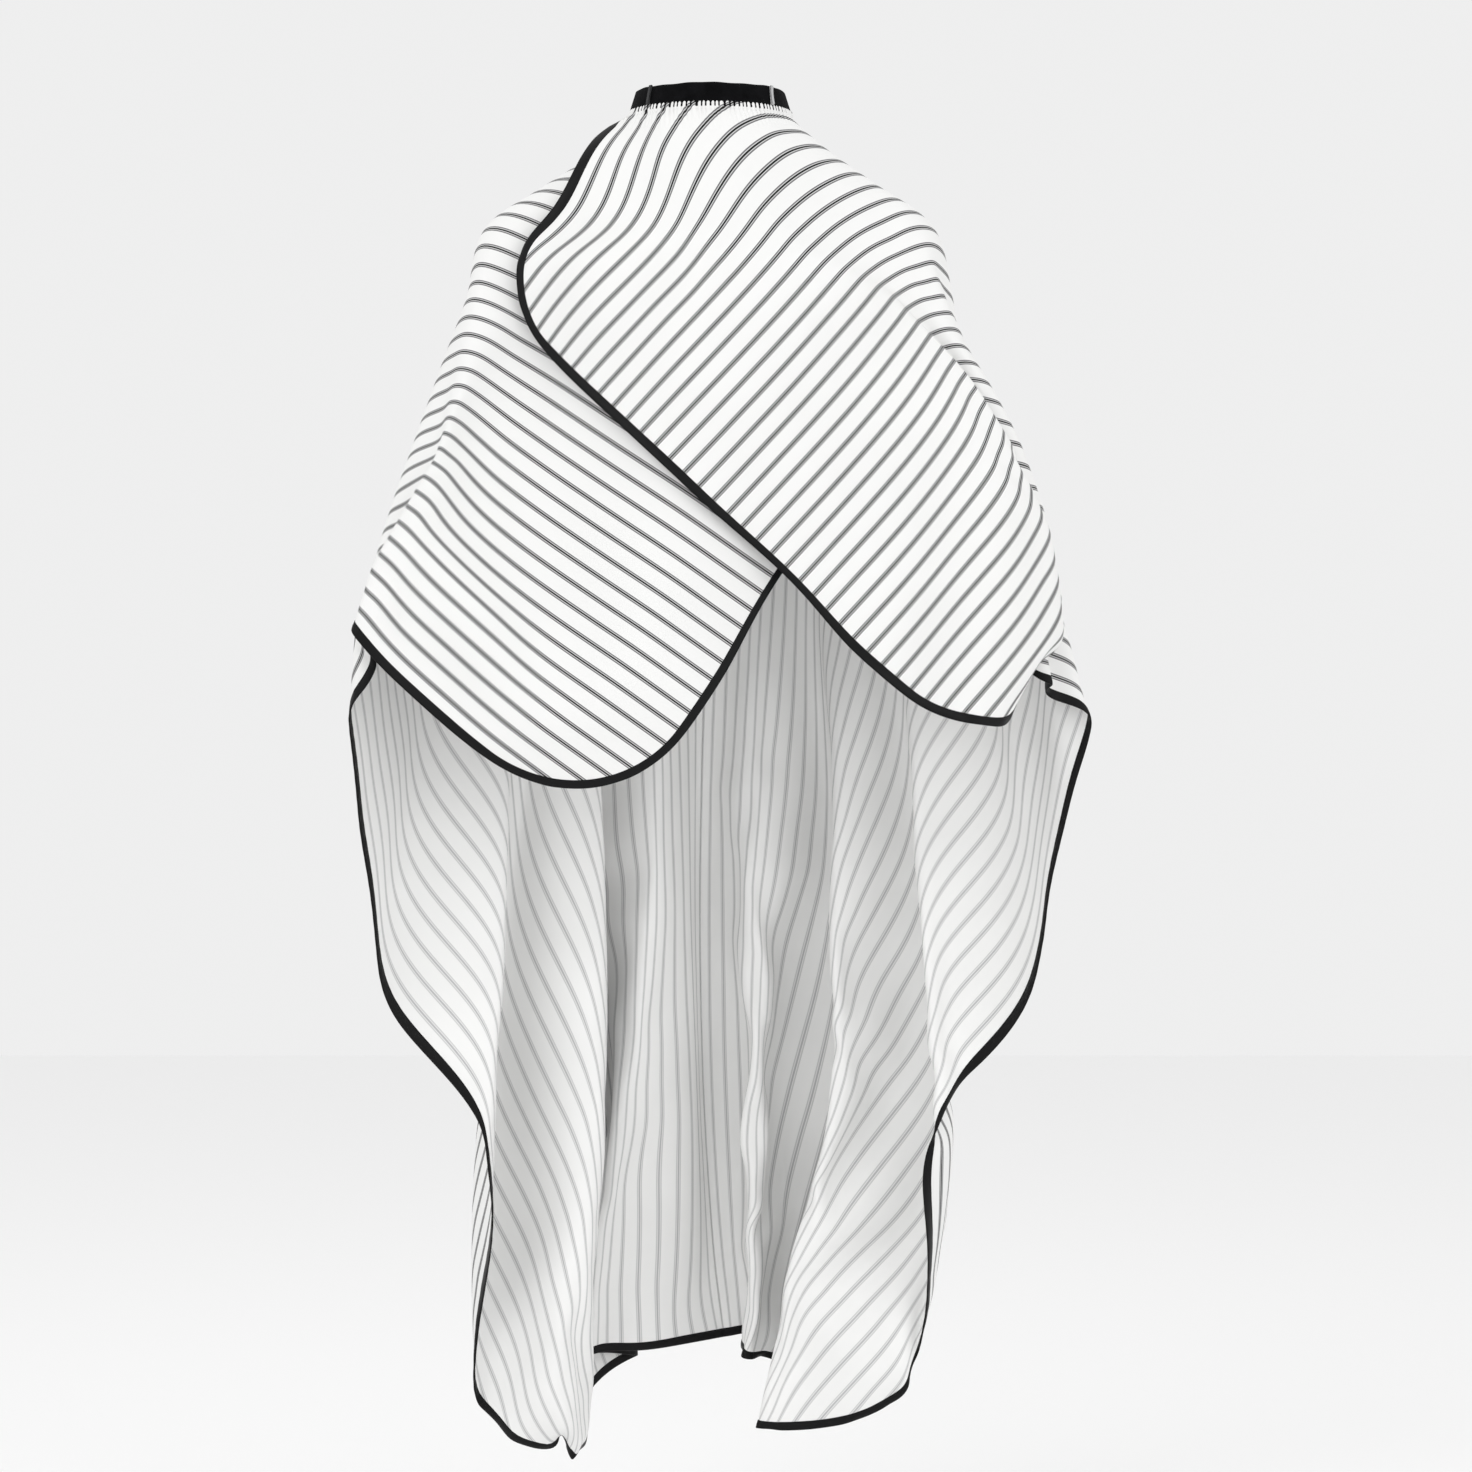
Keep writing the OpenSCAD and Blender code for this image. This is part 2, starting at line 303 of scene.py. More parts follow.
def startShape(flat, edges):
    side = np.where(flat[:, 2] != 0, flat[:, 2], np.where(flat[:, 0] >= 0, 1, -1))
    x, y = flat[:, 0], flat[:, 1]
    angle = np.degrees(np.arctan2(np.abs(x), y))
    out = np.hypot(x, y) - neckCut
    shift = np.where(side > 0, 0, 1)
    weight = smooth(0, 1, (angle - lie["backFrom"] + 6 * shift)
                    / (lie["backTo"] - lie["backFrom"] - 2 * shift))
    reach = np.where(side > 0, 0.12, mix(0.12, 0.30, smooth(120, 150, angle)))
    weight = weight * smooth(0, 1, out / reach)
    place = mix(frontLie(x, y, side), backLie(x, y, side), weight[:, None])
    place[:, 0] *= side
    # evens out the shoulders, where the two meet
    mask = np.minimum(1, 1.6 * bump(angle, 97, 42) * smooth(0, 0.06, out) * (1 - smooth(0.30, 0.5, out)))
    near = np.bincount(edges.ravel(), minlength=len(place)).astype(float)[:, None]
    for step in range(lie["relaxSteps"]):
        total = np.zeros_like(place)
        np.add.at(total, edges[:, 0], place[edges[:, 1]])
        np.add.at(total, edges[:, 1], place[edges[:, 0]])
        place += (total / near - place) * (mask * 0.6)[:, None]
    return place


def tuckUnder(flat, faces, edges, place, gap):
    # wherever the over flap covers the under flap, the under flap lies inside it
    cover = [f for f in faces if flat[f, 0].mean() > 0]
    tree = BVHTree.FromPolygons(place.tolist(), cover)
    angle = np.degrees(np.arctan2(-flat[:, 0], flat[:, 1]))
    out = np.hypot(flat[:, 0], flat[:, 1]) - neckCut
    under = np.nonzero((flat[:, 2] <= 0) & (flat[:, 0] <= 1e-6) & (angle > 95) & (out > 0.012))[0]
    near = np.bincount(edges.ravel(), minlength=len(place)).astype(float)[:, None]
    for step in range(8):
        moved = np.zeros(len(place))
        for i in under:
            spot, normal, face, far = tree.find_nearest(place[i].tolist(), 0.12)
            if spot is None:
                continue
            offset = Vector(place[i].tolist()) - spot
            height = offset.dot(normal)
            room = gap * min(1, 0.35 + out[i] / 0.08)
            if height > -room and (offset - normal * height).length < 0.3 * abs(height) + 0.004:
                place[i] = spot - normal * room
                moved[i] = 1
        if step == 7:
            break
        total = np.zeros_like(place)
        np.add.at(total, edges[:, 0], place[edges[:, 1]])
        np.add.at(total, edges[:, 1], place[edges[:, 0]])
        spread = np.zeros(len(place))
        np.maximum.at(spread, edges[:, 0], moved[edges[:, 1]])
        np.maximum.at(spread, edges[:, 1], moved[edges[:, 0]])
        mask = np.zeros(len(place))
        mask[under] = np.maximum(moved, spread)[under]
        place += (total / near - place) * (mask * 0.5)[:, None]
    return place


# The form that the cape settles on, taken away afterwards
form = {
    "shoulder": (160, 0, -128),
    "elbow": (206, -2, -340),
    "hand": (240, 5, -540),
    "remeshCell": 0.012,
    "gap": 0.004,
    "inside": 0.03,
    "friction": 15,
    "damping": 0.2,
}


def limb(start, end, r0, r1, steps=12):
    a, b = Vector(start) * mm, Vector(end) * mm
    made = []
    for k in range(steps + 1):
        share = k / steps
        bpy.ops.mesh.primitive_uv_sphere_add(segments=24, ring_count=14,
                                             radius=mix(r0, r1, share) * mm, location=a.lerp(b, share))
        made.append(bpy.context.object)
    return made


def roundBlock(centre, size):
    bpy.ops.mesh.primitive_uv_sphere_add(segments=40, ring_count=24, radius=1,
                                         location=[c * mm for c in centre])
    bpy.context.object.scale = [s * mm for s in size]
    return [bpy.context.object]


def makeForm():
    parts = limb((0, 0, 60), (0, 0, -60), 58, 62, 6)
    for s in (1, -1):
        side = Vector((s, 1, 1))
        parts += limb((0, 0, -52), Vector(form["shoulder"]) * side, 60, 40)
        parts += limb(Vector((172, 0, -140)) * side, Vector(form["elbow"]) * side, 45, 38)
        parts += limb(Vector(form["elbow"]) * side, Vector(form["hand"]) * side, 38, 30, 8)
        parts += limb(Vector((70, 20, -700)) * side, Vector((60, 60, -1250)) * side, 75, 55, 14)
        parts += roundBlock((s * 60, 55, -260), (75, 75, 90))
    parts += roundBlock((0, 0, -260), (155, 112, 190))
    parts += roundBlock((0, 0, -450), (135, 105, 260))
    parts += roundBlock((0, 0, -650), (155, 112, 180))
    bpy.ops.object.select_all(action="DESELECT")
    for part in parts:
        part.select_set(True)
    bpy.context.view_layer.objects.active = parts[0]
    bpy.ops.object.join()
    body = bpy.context.object
    skin = body.modifiers.new("skin", "REMESH")
    skin.mode, skin.voxel_size = "VOXEL", form["remeshCell"]
    bpy.ops.object.modifier_apply(modifier="skin")
    even = body.modifiers.new("even", "SMOOTH")
    even.iterations = 6
    bpy.ops.object.modifier_apply(modifier="even")
    body.modifiers.new("touch", "COLLISION")
    body.collision.thickness_outer = form["gap"]
    body.collision.thickness_inner = form["inside"]
    body.collision.cloth_friction = form["friction"]
    body.collision.damping = form["damping"]
    return body


# Cloth simulation
cloth = {
    "frames": 18,
    "bending": 3,
    "airDamping": 10,
    "stretch": 25,
    "shear": 8,
    "selfGap": 0.005,
    "selfFriction": 10,
    "quality": 6,
    "collisionQuality": 3,
    "mass": 0.2,
    "stretchDamping": 8,
    "shearDamping": 6,
    "bendingDamping": 0.8,
}


def settle(flat, faces, place):
    # the sheet hangs from its neck edge; its rest shape is the flat cut
    mesh = bpy.data.meshes.new("settling")
    mesh.from_pydata(place.tolist(), [], faces)
    sheet = bpy.data.objects.new("settling", mesh)
    scene.collection.objects.link(sheet)
    sheet.shape_key_add(name="Basis")
    flatKey = sheet.shape_key_add(name="flat")
    for i, (x, y, side) in enumerate(flat):
        flatKey.data[i].co = (x, y, 0)
    neckEdge = sheet.vertex_groups.new(name="neckEdge")
    held = np.abs(np.hypot(flat[:, 0], flat[:, 1]) - neckCut) < 1e-4
    neckEdge.add([int(i) for i in np.nonzero(held)[0]], 1.0, "REPLACE")
    body = makeForm()
    drape = sheet.modifiers.new("drape", "CLOTH")
    s = drape.settings
    s.quality, s.mass = cloth["quality"], cloth["mass"]
    s.tension_stiffness = s.compression_stiffness = cloth["stretch"]
    s.shear_stiffness, s.bending_stiffness = cloth["shear"], cloth["bending"]
    s.tension_damping = s.compression_damping = cloth["stretchDamping"]
    s.shear_damping, s.bending_damping = cloth["shearDamping"], cloth["bendingDamping"]
    s.air_damping = cloth["airDamping"]
    s.vertex_group_mass, s.rest_shape_key = "neckEdge", flatKey
    c = drape.collision_settings
    c.collision_quality, c.distance_min = cloth["collisionQuality"], form["gap"]
    c.use_self_collision, c.self_distance_min = True, cloth["selfGap"]
    c.self_friction = cloth["selfFriction"]
    drape.point_cache.frame_start = scene.frame_start = 1
    drape.point_cache.frame_end = scene.frame_end = cloth["frames"]
    for f in range(1, cloth["frames"] + 1):
        scene.frame_set(f)
    drawn = sheet.evaluated_get(bpy.context.evaluated_depsgraph_get())
    settled = np.zeros(len(flat) * 3)
    drawn.data.vertices.foreach_get("co", settled)
    for o in (sheet, body):
        bpy.data.objects.remove(o)
    scene.frame_set(1)
    return settled.reshape(-1, 3)


def cutMesh(name, place, faces, flat):
    # a mesh at its worn place, with its cut place in metres as the UV map "cut"
    mesh = bpy.data.meshes.new(name)
    mesh.from_pydata(np.asarray(place).tolist(), [], faces)
    layer = mesh.uv_layers.new(name="cut")
    corners = np.zeros(len(mesh.loops), int)
    mesh.loops.foreach_get("vertex_index", corners)
    layer.data.foreach_set("uv", np.asarray(flat)[corners, :2].ravel())
    mesh.polygons.foreach_set("use_smooth", [True] * len(mesh.polygons))
    piece = bpy.data.objects.new(name, mesh)
    scene.collection.objects.link(piece)
    return piece


def applyAll(piece):
    bpy.ops.object.select_all(action="DESELECT")
    piece.select_set(True)
    bpy.context.view_layer.objects.active = piece
    for m in list(piece.modifiers):
        bpy.ops.object.modifier_apply(modifier=m.name)
    piece.select_set(False)


def refine(flat, faces, place):
    # a finer sheet on the same shape: worn points, cut points and faces
    piece = cutMesh("fine", place, faces, flat)
    finer = piece.modifiers.new("finer", "SUBSURF")
    finer.levels = finer.render_levels = cut["fineLevels"]
    finer.uv_smooth = "SMOOTH_ALL"
    finer.boundary_smooth = "ALL"
    applyAll(piece)
    mesh = piece.data
    worn = np.zeros(len(mesh.vertices) * 3)
    mesh.vertices.foreach_get("co", worn)
    corners = np.zeros(len(mesh.loops), int)
    mesh.loops.foreach_get("vertex_index", corners)
    uv = np.zeros(len(mesh.loops) * 2)
    mesh.uv_layers["cut"].data.foreach_get("uv", uv)
    onCut = np.zeros((len(mesh.vertices), 2))
    onCut[corners] = uv.reshape(-1, 2)
    quads = corners.reshape(-1, 4)
    bpy.data.objects.remove(piece)
    return worn.reshape(-1, 3), onCut, quads


def makeHalf(side, worn, onCut, quads):
    # one half of the sheet, with what is needed to find where a point of the cut lies
    mine = quads[onCut[quads].mean(1)[:, 0] * side > 0]
    used, back = np.unique(mine, return_inverse=True)
    mine = back.reshape(-1, 4)
    worn, onCut = worn[used], onCut[used]
    a, b, c, d = (worn[mine[:, k]] for k in range(4))
    across = np.cross(c - a, d - b)
    normal = np.zeros_like(worn)
    for k in range(4):
        np.add.at(normal, mine[:, k], across)
    normal /= np.linalg.norm(normal, axis=1)[:, None]
    tris = np.concatenate([mine[:, [0, 1, 2]], mine[:, [0, 2, 3]]])
    tree = BVHTree.FromPolygons([(x, y, 0) for x, y in onCut], tris.tolist())
    return {"side": side, "worn": worn, "cut": onCut, "quads": mine, "normal": normal,
            "tris": tris, "tree": tree}


def wornAt(half, points):
    # worn place and outward normal of points of the cut
    near = [half["tree"].find_nearest((x, y, 0)) for x, y in points]
    tri = half["tris"][[n[2] for n in near]]
    p = np.array([n[0][:2] for n in near])
    a, b, c = (half["cut"][tri[:, k]] for k in range(3))
    ab, ac, ap = b - a, c - a, p - a
    area = ab[:, 0] * ac[:, 1] - ab[:, 1] * ac[:, 0]
    u = (ap[:, 0] * ac[:, 1] - ap[:, 1] * ac[:, 0]) / area
    v = (ab[:, 0] * ap[:, 1] - ab[:, 1] * ap[:, 0]) / area
    share = np.stack([1 - u - v, u, v], 1)[:, :, None]
    normal = (half["normal"][tri] * share).sum(1)
    return (half["worn"][tri] * share).sum(1), normal / np.linalg.norm(normal, axis=1)[:, None]


flatCut, cutFaces, cutEdges = cutGrid()
wornPlace = startShape(flatCut, cutEdges)
wornPlace = tuckUnder(flatCut, cutFaces, cutEdges, wornPlace, lie["tuckBefore"])
wornPlace = settle(flatCut, cutFaces, wornPlace)
wornPlace = tuckUnder(flatCut, cutFaces, cutEdges, wornPlace, lie["tuckAfter"])
print("cloth settled")
fineWorn, fineCut, fineQuads = refine(flatCut, cutFaces, wornPlace)
leftHalf = makeHalf(-1, fineWorn, fineCut, fineQuads)
rightHalf = makeHalf(1, fineWorn, fineCut, fineQuads)


def clothPiece(name, half):
    piece = cutMesh(name, half["worn"], half["quads"].tolist(), half["cut"])
    for face in range(2):  # places for the finishes of the face and the wrong side
        piece.data.materials.append(None)
    shell = piece.modifiers.new("thickness", "SOLIDIFY")
    shell.thickness, shell.offset = cut["clothThickness"], 0
    shell.material_offset = 1  # the wrong side has a finish of its own
    shell.use_even_offset = True
    applyAll(piece)
    return piece


capeLeft = clothPiece("capeLeft", leftHalf)
capeRight = clothPiece("capeRight", rightHalf)
print("sheet cut into its halves")


# Strips: rows of points across, swept along
def stripMesh(name, grid, uv, closed):
    # grid[i, j] is row i, point j; a closed section goes round, and its two ends are capped
    n, m = grid.shape[:2]
    last = m if closed else m - 1
    faces = [(i * m + j, i * m + (j + 1) % m, (i + 1) * m + (j + 1) % m, (i + 1) * m + j)
             for i in range(n - 1) for j in range(last)]
    if closed:
        faces += [tuple(range(m - 1, -1, -1)), tuple((n - 1) * m + j for j in range(m))]
    mesh = bpy.data.meshes.new(name)
    mesh.from_pydata(grid.reshape(-1, 3).tolist(), [], faces)
    layer = mesh.uv_layers.new(name="cut")
    corners = np.zeros(len(mesh.loops), int)
    mesh.loops.foreach_get("vertex_index", corners)
    layer.data.foreach_set("uv", uv.reshape(-1, 2)[corners].ravel())
    mesh.polygons.foreach_set("use_smooth", [True] * len(mesh.polygons))
    piece = bpy.data.objects.new(name, mesh)
    scene.collection.objects.link(piece)
    bpy.ops.object.select_all(action="DESELECT")
    piece.select_set(True)
    bpy.context.view_layer.objects.active = piece
    bpy.ops.object.mode_set(mode="EDIT")
    bpy.ops.mesh.select_all(action="SELECT")
    bpy.ops.mesh.normals_make_consistent(inside=False)
    bpy.ops.object.mode_set(mode="OBJECT")
    piece.select_set(False)
    return piece


# Folded edge tape
edgeTape = {
    "step": 0.004,
    # distance in from the hem and height above the cloth, in mm, for one face
    "section": [(8.4, 0.15), (8.2, 0.55), (7.6, 0.8), (7.0, 0.62), (6.4, 0.85), (3.6, 1.05), (1.0, 0.95),
                (-0.1, 0.62), (-0.5, 0.0)],
    "pucker": 0.12,
    "puckerLength": 0.021,
}
hemCorner = halfWidth - cut["frontCorner"]
hemSide = hemCorner + math.pi / 2 * cut["frontCorner"]
hemBack = hemSide + cut["length"] - cut["frontCorner"] - cut["backCorner"]
hemUnder = hemBack + math.pi / 2 * cut["backCorner"]
hemSlit = hemUnder + halfWidth - cut["backCorner"] - cut["slitCorner"]
hemEnd = hemSlit + math.pi / 2 * cut["slitCorner"]
hemNeck = hemEnd + cut["backLength"] - cut["slitCorner"] - neckCut


def hemPoint(t, d):
    # point of the cut at station t from the front centre to the neck, d inside the outline
    rf, rb, rs = cut["frontCorner"], cut["backCorner"], cut["slitCorner"]
    if t < hemCorner:
        return t, frontHem - d
    if t < hemSide:
        a = math.pi / 2 - (t - hemCorner) / rf
        return halfWidth - rf + (rf - d) * math.cos(a), frontHem - rf + (rf - d) * math.sin(a)
    if t < hemBack:
        return halfWidth - d, frontHem - rf - (t - hemSide)
    if t < hemUnder:
        a = -(t - hemBack) / rb
        return halfWidth - rb + (rb - d) * math.cos(a), backHem + rb + (rb - d) * math.sin(a)
    if t < hemSlit:
        return halfWidth - rb - (t - hemUnder), backHem + d
    if t < hemEnd:
        a = -math.pi / 2 - (t - hemSlit) / rs
        return rs + (rs - d) * math.cos(a), backHem + rs + (rs - d) * math.sin(a)
    return d, backHem + rs + (t - hemEnd)


def edgeTapePiece(name, half):
    t = np.linspace(0, hemNeck - 0.001, int(hemNeck / edgeTape["step"]))
    section = edgeTape["section"]
    section = section + [(d, -h) for d, h in section[-2::-1]]
    rows = []
    hem = wornAt(half, [(half["side"] * x, y) for x, y in (hemPoint(q, 0.0) for q in t)])[0]
    inner = {}
    for d, h in section:
        key = max(d, 0.0)
        if key not in inner:
            inner[key] = wornAt(half, [(half["side"] * x, y) for x, y in (hemPoint(q, key * mm) for q in t)])
        place, up = inner[key]
        if d < 0:  # past the outline: carried on from the cloth 1 mm inside it
            away = hem - inner[1.0][0]
            away /= np.maximum(np.linalg.norm(away, axis=1)[:, None], 1e-6)
            place = hem - away * d * mm
        pucker = 1 + edgeTape["pucker"] * np.sin(2 * np.pi * t / edgeTape["puckerLength"])
        rows.append(place + up * (h * mm * pucker)[:, None])
    grid = np.stack(rows, 1)
    across = [d * mm if h >= 0 else -d * mm for d, h in section]
    uv = np.stack(np.meshgrid(t, across, indexing="ij"), -1)
    return stripMesh(name, grid, uv, True)


edgeTapeLeft = edgeTapePiece("edgeTapeLeft", leftHalf)
edgeTapeRight = edgeTapePiece("edgeTapeRight", rightHalf)
print("edge tape sewn on")

# Neckband: brushed band cloth folded over at its top
neckband = {
    # up along the band and out from the middle of the cloth, in mm
    "section": [(2.1, -0.1), (2.3, 0.45), (3.4, 0.6), (5.0, 0.55), (10.0, 0.6), (16.0, 0.6), (22.0, 0.6),
                (24.6, 0.6), (25.9, 0.35), (26.5, -0.3), (26.4, -1.1), (25.9, -1.6), (25.3, -1.5),
                (25.0, -0.62), (14.0, -0.6), (4.0, -0.6), (2.4, -0.5)],
    "stations": 260,
    "topWave": 0.35,
}


def neckbandPiece(name, turn0, turn1):
    turns = np.linspace(turn0, turn1, neckband["stations"])
    rows = []
    for up, out in neckband["section"]:
        wave = neckband["topWave"] * (up / 26) ** 3 * (np.sin(turns * 0.11) + 0.6 * np.sin(turns * 0.29 + 1))
        rows.append(bandPoint(turns, (up + wave) * mm, out * mm))
    grid = np.stack(rows, 1)
    along = np.radians(turns) * band["edgeRadius"]
    uv = np.stack(np.meshgrid(along, [up * mm for up, out in neckband["section"]], indexing="ij"), -1)
    return stripMesh(name, grid, uv, True)


neckbandUnder = neckbandPiece("neckbandUnder", -band["lapEnd"], 0)
neckbandOver = neckbandPiece("neckbandOver", 0, band["lapEnd"])

# Gathers: the sheet's edge where it is drawn up under the band
gather = {
    "pitch": 4.2,  # mm
    "samples": 8,
    "cloth": 0.0003,
    # above the cloth's edge, in mm: up along the band, middle and height of the ripple
    "upper": [(7.8, -0.35, 0.1), (7.0, 0.2, 0.6), (5.6, 0.65, 1.0), (3.6, 0.65, 1.15), (1.4, 0.5, 1.1)],
    # down the cloth, in mm, with the same two
    "lower": [(0.0, 0.5, 1.0), (1.5, 0.55, 0.95), (3.0, 0.6, 0.85), (5.0, 0.6, 0.7), (7.5, 0.55, 0.5),
              (10.0, 0.45, 0.34), (13.0, 0.3, 0.2), (15.5, 0.1, 0.1), (17.0, -0.35, 0.0)],
}


def gatherPiece(name, half):
    length = math.radians(band["lapEnd"]) * band["edgeRadius"] * 1000
    count = int(length / gather["pitch"]) * gather["samples"]
    share = np.linspace(0, 1, count)
    turns = share * band["lapEnd"]
    worn = turns * half["side"]
    phase = share * length / gather["pitch"] * 2 * np.pi
    phase = phase + 0.9 * np.sin(share * 71 + half["side"]) + 0.6 * np.sin(share * 167)
    tall = 0.72 + 0.28 * np.sin(share * 113 + 2) * np.sin(share * 37)
    ripple = np.cos(phase) * tall
    cutAngle = np.radians(turns / band["wrap"])
    rows, uv = [], []
    for up, middle, height in gather["upper"]:
        out = (middle + height * ripple) * mm
        rows.append(bandPoint(worn, up * mm, out))
        r = neckCut - up * mm
        uv.append(np.stack([half["side"] * r * np.sin(cutAngle), r * np.cos(cutAngle)], -1))
    for down, middle, height in gather["lower"]:
        r = neckCut + down * mm + 1e-5
        points = np.stack([half["side"] * r * np.sin(cutAngle), r * np.cos(cutAngle)], -1)
        place, up = wornAt(half, points)
        rows.append(place + up * ((middle + height * ripple) * mm)[:, None])
        uv.append(points)
    piece = stripMesh(name, np.stack(rows, 1), np.stack(uv, 1), False)
    shell = piece.modifiers.new("thickness", "SOLIDIFY")
    shell.thickness, shell.offset = gather["cloth"], 0
    applyAll(piece)
    return piece


gatherUnder = gatherPiece("gatherUnder", leftHalf)
gatherOver = gatherPiece("gatherOver", rightHalf)
print("neckband and gathers made")

# Hanger loops: narrow ribbon sewn to the top of the band
ribbon = {
    "leftTurn": 229.5,
    "rightTurn": 127.5,
    "width": 3.0,  # mm
    "drop": 17.4,
    "radius": 1.15,
    "cloth": 0.35,
    "leftLean": -0.12,
    "rightLean": 0.30,
}


def ribbonPiece(name, turn, lean):
    bpy.ops.object.select_all(action="DESELECT")
    bpy.ops.mesh.primitive_circle_add(vertices=32, radius=ribbon["radius"] * mm, rotation=(0, math.pi / 2, 0))
    piece = bpy.context.object
    piece.name = name
    bpy.ops.object.transform_apply(location=False, rotation=True, scale=False)
    bpy.ops.object.mode_set(mode="EDIT")
    bpy.ops.mesh.select_mode(type="VERT")
    bpy.ops.mesh.select_all(action="DESELECT")
    bpy.ops.object.mode_set(mode="OBJECT")
    for v in piece.data.vertices:
        v.select = v.co.z < -1e-6
    bpy.ops.object.mode_set(mode="EDIT")
    bpy.ops.transform.translate(value=(0, 0, -ribbon["drop"] * mm))
    bpy.ops.mesh.select_all(action="SELECT")
    bpy.ops.transform.translate(value=(-ribbon["width"] / 2 * mm, 0, -ribbon["radius"] * mm))
    bpy.ops.mesh.extrude_region_move(TRANSFORM_OT_translate={"value": (ribbon["width"] * mm, 0, 0)})
    bpy.ops.mesh.select_all(action="SELECT")
    bpy.ops.mesh.subdivide(number_cuts=3)
    bpy.ops.mesh.normals_make_consistent(inside=False)
    bpy.ops.object.mode_set(mode="OBJECT")
    for v in piece.data.vertices:  # the loop leans and its long sides bow a little
        fall = -v.co.z / (ribbon["drop"] * mm)
        v.co.x += lean * -v.co.z + 0.0005 * math.sin(math.pi * min(1, max(0, fall)))
        v.co.y *= 1 - 0.35 * math.sin(math.pi * min(1, max(0, fall)))
    shell = piece.modifiers.new("thickness", "SOLIDIFY")
    shell.thickness, shell.offset = ribbon["cloth"] * mm, 0
    soft = piece.modifiers.new("soft", "BEVEL")
    soft.width, soft.segments, soft.limit_method = 0.08 * mm, 2, "ANGLE"
    applyAll(piece)
    top = band["height"]
    out = band["lapGap"] + 0.0023
    radius = band["edgeRadius"] - top * math.cos(band["slope"]) + out * math.sin(band["slope"])
    height = band["edgeHeight"] + top * math.sin(band["slope"]) + out * math.cos(band["slope"])
    place = (Matrix.Rotation(-math.radians(turn), 4, "Z") @ Matrix.Translation((0, radius, height))
             @ Matrix.Rotation(math.pi / 2 - band["slope"], 4, "X"))
    piece.data.transform(place)
    piece.data.update()
    for p in piece.data.polygons:
        p.use_smooth = True
    return piece


ribbonLeft = ribbonPiece("ribbonLeft", ribbon["leftTurn"], ribbon["leftLean"])
ribbonRight = ribbonPiece("ribbonRight", ribbon["rightTurn"], ribbon["rightLean"])
print("hanger loops made")


# Materials
def linear(code):
    parts = [int(code[i:i + 2], 16) / 255 for i in (1, 3, 5)]
    return tuple(c / 12.92 if c <= 0.04045 else ((c + 0.055) / 1.055) ** 2.4 for c in parts) + (1,)


def addNode(tree, kind, inputs=None, **settings):
    # inputs are given by name or number; a socket is linked and anything else is a value
    made = tree.nodes.new("ShaderNode" + kind)
    for key, value in settings.items():
        setattr(made, key, value)
    for key, value in (inputs or {}).items():
        if isinstance(value, bpy.types.NodeSocket):
            tree.links.new(value, made.inputs[key])
        else:
            made.inputs[key].default_value = value
    return made


def newMaterial(name, **shader):
    made = bpy.data.materials.new(name)
    made.use_nodes = True
    skin = made.node_tree.nodes["Principled BSDF"]
    for key, value in shader.items():
        skin.inputs[key].default_value = value
    return made, made.node_tree, skin


def band1d(tree, value, low, high, soft):
    # 1 between low and high, with soft sides
    rise = addNode(tree, "MapRange", {"Value": value, "From Min": low - soft, "From Max": low + soft},
                   interpolation_type="SMOOTHSTEP").outputs[0]
    drop = addNode(tree, "MapRange", {"Value": value, "From Min": high - soft, "From Max": high + soft,
                                      "To Min": 1.0, "To Max": 0.0},
                   interpolation_type="SMOOTHSTEP").outputs[0]
    return addNode(tree, "Math", {0: rise, 1: drop}, operation="MULTIPLY").outputs[0]


def waveScale(period):
    # scale of a banded wave texture whose bands repeat at this distance, in mm
    return 2 * math.pi / 20 / (period * mm)


def blendColour(tree, amount, first, second):
    return addNode(tree, "Mix", {"Factor": amount, 6: first, 7: second}, data_type="RGBA").outputs[2]


stripe = {
    "repeat": 18.1,  # mm between dark lines
    "darkHalf": 0.75,
    "greyFrom": 1.35,
    "greyTo": 2.45,
    "soft": 0.22,
    "ground": "#ececeb",
    "dark": "#0b0b0c",
    "grey": "#6c6c6e",
    "backGround": "#f3f3f2",
    "backDark": "#b9b9ba",
    "backGrey": "#cecece",
}


